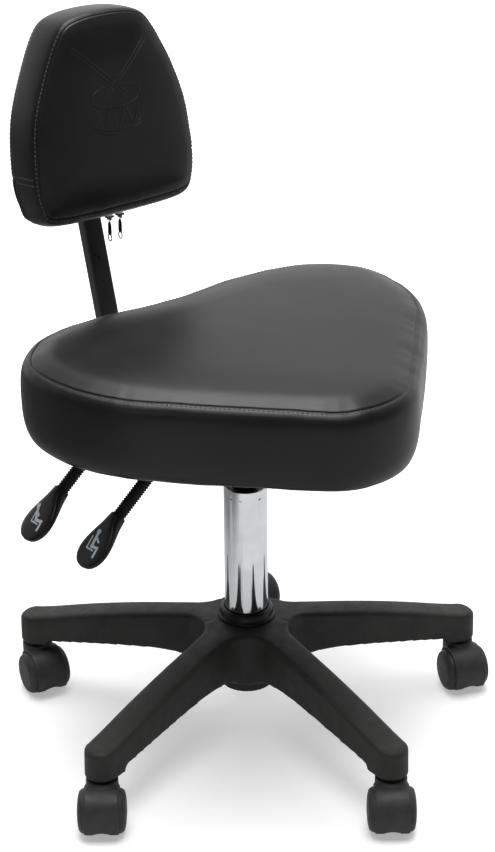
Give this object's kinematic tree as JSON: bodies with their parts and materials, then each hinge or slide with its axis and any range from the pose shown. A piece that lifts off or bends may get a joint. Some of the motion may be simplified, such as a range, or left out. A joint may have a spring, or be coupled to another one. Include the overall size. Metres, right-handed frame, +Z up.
{
  "type": "drum throne",
  "caption": "Wheeled drum throne: wide-backed padded seat and small zipped backrest on a gas-lift column, with paddle levers, a bent backrest bar and a moulded star base on hooded casters.",
  "frame": {"origin": "centre of the throne footprint, on the floor; the column axis is 14.5 mm to +X and 2.8 mm to -Y of it", "axes": "+Z up along the column, -Y towards the nose of the seat, +X to the side without levers"},
  "size_m": [0.5768, 0.6378, 0.8013],
  "materials": {
    "base_nylon": "fine-textured moulded nylon",
    "caster_plastic": "satin moulded nylon",
    "chrome": "polished chrome plate",
    "black_plastic": "satin moulded plastic",
    "rubber_black": "ribbed soft sleeve",
    "black_steel": "black powder coat",
    "plain_steel": "zinc-plated steel",
    "vinyl": "smooth semi-gloss vinyl",
    "foam": "open-cell foam",
    "plywood": "plain plywood",
    "dust_cloth": "thin non-woven cloth",
    "zip_tape": "woven zip tape and coil",
    "zip_metal": "painted die-cast metal"
  },
  "bodies": {
    "base": {"star_base": "base_nylon", "column_collar": "black_plastic", "outer_tube": "chrome", "guide_bush": "black_plastic", "caster_stem_1": "plain_steel", "caster_stem_2": "plain_steel", "caster_stem_3": "plain_steel", "caster_stem_4": "plain_steel", "caster_stem_5": "plain_steel"},
    "column_rod": {"piston_rod": "plain_steel", "rod_clip": "plain_steel", "thrust_bearing": "plain_steel"},
    "seat_frame": {"gas_cylinder": "black_steel", "mechanism_housing": "black_steel", "seat_plate": "black_steel", "seat_bolt_1": "plain_steel", "seat_bolt_2": "plain_steel", "seat_bolt_3": "plain_steel", "seat_bolt_4": "plain_steel", "seat_board": "plywood", "seat_foam": "foam", "seat_cover": "vinyl", "seat_dust_cover": "dust_cloth", "back_pivot_pin": "plain_steel"},
    "release_pin": {"release_pin": "plain_steel"},
    "height_lever": {"height_lever_rod": "black_steel", "height_lever_sleeve": "rubber_black", "height_lever_paddle": "black_plastic"},
    "tilt_lever": {"tilt_lever_rod": "black_steel", "tilt_lever_sleeve": "rubber_black", "tilt_lever_paddle": "black_plastic"},
    "lock_pawl": {"lock_pawl": "plain_steel"},
    "back_bracket": {"back_bracket": "black_steel"},
    "upright": {"upright_bar": "black_steel", "back_bolt_1": "plain_steel", "back_bolt_2": "plain_steel", "backrest_board": "plywood", "backrest_foam": "foam", "backrest_cover": "vinyl", "cover_zip": "zip_tape"},
    "clamp_knob": {"clamp_knob": "black_plastic"},
    "zip_slider_left": {"zip_slider_left": "zip_metal"},
    "zip_slider_right": {"zip_slider_right": "zip_metal"},
    "zip_pull_left": {"zip_pull_left": "zip_metal"},
    "zip_pull_right": {"zip_pull_right": "zip_metal"},
    "caster_1": {"caster_hood_1": "caster_plastic"},
    "wheel_left_1": {"wheel_left_1": "caster_plastic"},
    "wheel_right_1": {"wheel_right_1": "caster_plastic"},
    "caster_2": {"caster_hood_2": "caster_plastic"},
    "wheel_left_2": {"wheel_left_2": "caster_plastic"},
    "wheel_right_2": {"wheel_right_2": "caster_plastic"},
    "caster_3": {"caster_hood_3": "caster_plastic"},
    "wheel_left_3": {"wheel_left_3": "caster_plastic"},
    "wheel_right_3": {"wheel_right_3": "caster_plastic"},
    "caster_4": {"caster_hood_4": "caster_plastic"},
    "wheel_left_4": {"wheel_left_4": "caster_plastic"},
    "wheel_right_4": {"wheel_right_4": "caster_plastic"},
    "caster_5": {"caster_hood_5": "caster_plastic"},
    "wheel_left_5": {"wheel_left_5": "caster_plastic"},
    "wheel_right_5": {"wheel_right_5": "caster_plastic"}
  },
  "joints": [
    {"name": "seat_swivel", "type": "hinge", "parent": "base", "child": "column_rod", "pos_m": [0.0145, -0.0028, 0.05], "axis": [0, 0, 1], "continuous": true},
    {"name": "seat_height", "type": "slide", "parent": "column_rod", "child": "seat_frame", "axis": [0, 0, 1], "range_m": [-0.02, 0.11]},
    {"name": "height_lever_lift", "type": "hinge", "parent": "seat_frame", "child": "height_lever", "pos_m": [-0.0305, -0.0228, 0.378], "axis": [0, 1, 0], "range_deg": [0, 5], "stiffness_Nm_per_rad": 0.8, "springref_deg": -6.88},
    {"name": "release_pin_press", "type": "slide", "parent": "seat_frame", "child": "release_pin", "axis": [0, 0, 1], "range_m": [-0.004, 0]},
    {"name": "tilt_lever_lift", "type": "hinge", "parent": "seat_frame", "child": "tilt_lever", "pos_m": [-0.0305, 0.0472, 0.378], "axis": [0, 1, 0], "range_deg": [0, 5], "stiffness_Nm_per_rad": 0.8, "springref_deg": -6.88},
    {"name": "lock_pawl_drop", "type": "slide", "parent": "seat_frame", "child": "lock_pawl", "axis": [0, 0, 1], "range_m": [-0.004, 0]},
    {"name": "back_tilt", "type": "hinge", "parent": "seat_frame", "child": "back_bracket", "pos_m": [0.0145, 0.1022, 0.37], "axis": [-1, 0, 0], "range_deg": [-8, 12]},
    {"name": "back_depth", "type": "slide", "parent": "back_bracket", "child": "upright", "axis": [0, 1, 0], "range_m": [-0.01, 0.035]},
    {"name": "clamp_knob_turn", "type": "hinge", "parent": "back_bracket", "child": "clamp_knob", "pos_m": [0.0145, 0.1622, 0.345], "axis": [0, 0, 1], "range_deg": [0, 270]},
    {"name": "zip_slider_left_travel", "type": "slide", "parent": "upright", "child": "zip_slider_left", "axis": [1, 0, 0], "range_m": [-0.05, 0]},
    {"name": "zip_pull_left_swing", "type": "hinge", "parent": "zip_slider_left", "child": "zip_pull_left", "pos_m": [0.025, 0.26242, 0.54901], "axis": [0, 1, 0], "range_deg": [-25, 80]},
    {"name": "zip_slider_right_travel", "type": "slide", "parent": "upright", "child": "zip_slider_right", "axis": [1, 0, 0], "range_m": [0, 0.035]},
    {"name": "zip_pull_right_swing", "type": "hinge", "parent": "zip_slider_right", "child": "zip_pull_right", "pos_m": [0.04, 0.26242, 0.54901], "axis": [0, 1, 0], "range_deg": [-80, 25]},
    {"name": "caster_swivel_1", "type": "hinge", "parent": "base", "child": "caster_1", "pos_m": [0.18279, 0.20577, 0.05], "axis": [0, 0, 1], "continuous": true},
    {"name": "wheel_spin_left_1", "type": "hinge", "parent": "caster_1", "child": "wheel_left_1", "pos_m": [0.18016, 0.18796, 0.025], "axis": [-0.9893, 0.1461, 0], "continuous": true},
    {"name": "wheel_spin_right_1", "type": "hinge", "parent": "caster_1", "child": "wheel_right_1", "pos_m": [0.18016, 0.18796, 0.025], "axis": [-0.9893, 0.1461, 0], "continuous": true},
    {"name": "caster_swivel_2", "type": "hinge", "parent": "base", "child": "caster_2", "pos_m": [0.26487, -0.09841, 0.05], "axis": [0, 0, 1], "continuous": true},
    {"name": "wheel_spin_left_2", "type": "hinge", "parent": "caster_2", "child": "wheel_left_2", "pos_m": [0.25845, -0.11522, 0.025], "axis": [-0.9342, 0.3567, 0], "continuous": true},
    {"name": "wheel_spin_right_2", "type": "hinge", "parent": "caster_2", "child": "wheel_right_2", "pos_m": [0.25845, -0.11522, 0.025], "axis": [-0.9342, 0.3567, 0], "continuous": true},
    {"name": "caster_swivel_3", "type": "hinge", "parent": "base", "child": "caster_3", "pos_m": [0.00094, -0.27046, 0.05], "axis": [0, 0, 1], "continuous": true},
    {"name": "wheel_spin_left_3", "type": "hinge", "parent": "caster_3", "child": "wheel_left_3", "pos_m": [-0.01024, -0.28456, 0.025], "axis": [-0.7837, 0.6211, 0], "continuous": true},
    {"name": "wheel_spin_right_3", "type": "hinge", "parent": "caster_3", "child": "wheel_right_3", "pos_m": [-0.01024, -0.28456, 0.025], "axis": [-0.7837, 0.6211, 0], "continuous": true},
    {"name": "caster_swivel_4", "type": "hinge", "parent": "base", "child": "caster_4", "pos_m": [-0.24425, -0.07262, 0.05], "axis": [0, 0, 1], "continuous": true},
    {"name": "wheel_spin_left_4", "type": "hinge", "parent": "caster_4", "child": "wheel_left_4", "pos_m": [-0.25543, -0.08672, 0.025], "axis": [-0.7837, 0.6211, 0], "continuous": true},
    {"name": "wheel_spin_right_4", "type": "hinge", "parent": "caster_4", "child": "wheel_right_4", "pos_m": [-0.25543, -0.08672, 0.025], "axis": [-0.7837, 0.6211, 0], "continuous": true},
    {"name": "caster_swivel_5", "type": "hinge", "parent": "base", "child": "caster_5", "pos_m": [-0.13186, 0.22171, 0.05], "axis": [0, 0, 1], "continuous": true},
    {"name": "wheel_spin_left_5", "type": "hinge", "parent": "caster_5", "child": "wheel_left_5", "pos_m": [-0.13529, 0.20404, 0.025], "axis": [-0.9816, 0.1908, 0], "continuous": true},
    {"name": "wheel_spin_right_5", "type": "hinge", "parent": "caster_5", "child": "wheel_right_5", "pos_m": [-0.13529, 0.20404, 0.025], "axis": [-0.9816, 0.1908, 0], "continuous": true}
  ],
  "couplings": [
    {"joint": "release_pin_press", "follows": "height_lever_lift", "m_per_rad": -0.045},
    {"joint": "lock_pawl_drop", "follows": "tilt_lever_lift", "m_per_rad": -0.045}
  ]
}
